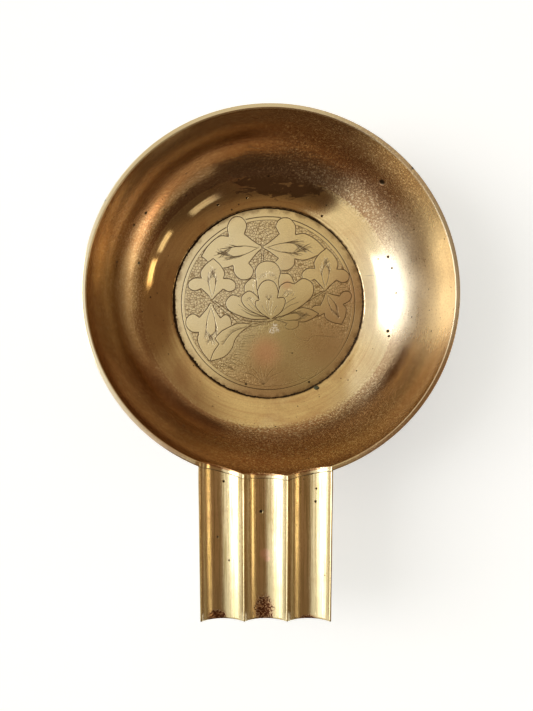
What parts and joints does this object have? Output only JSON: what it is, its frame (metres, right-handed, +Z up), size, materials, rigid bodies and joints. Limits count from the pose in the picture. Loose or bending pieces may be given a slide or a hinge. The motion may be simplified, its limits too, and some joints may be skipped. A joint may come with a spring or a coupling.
{
  "type": "incense burner",
  "caption": "Shallow round brass incense dish on a foot ring, with a round plate let into its floor and a fluted handle that stands out level with the rim.",
  "frame": {"origin": "centre of the bounding box's underside, on the plane the foot ring stands on", "axes": "+Z up out of the dish, -Y along the handle away from the dish, +X to the right seen from above with the handle towards the viewer"},
  "size_m": [0.14, 0.1914, 0.0395],
  "materials": {
    "brass": "aged, worn satin",
    "medallion_brass": "engraved, aged satin",
    "solder": "dark, rough solder and grime"
  },
  "bodies": {
    "root": {"bowl": "brass", "medallion_plate": "medallion_brass", "foot_ring": "brass", "flute_handle": "brass", "handle_solder": "solder", "medallion_solder": "solder", "foot_solder": "solder"}
  },
  "joints": []
}
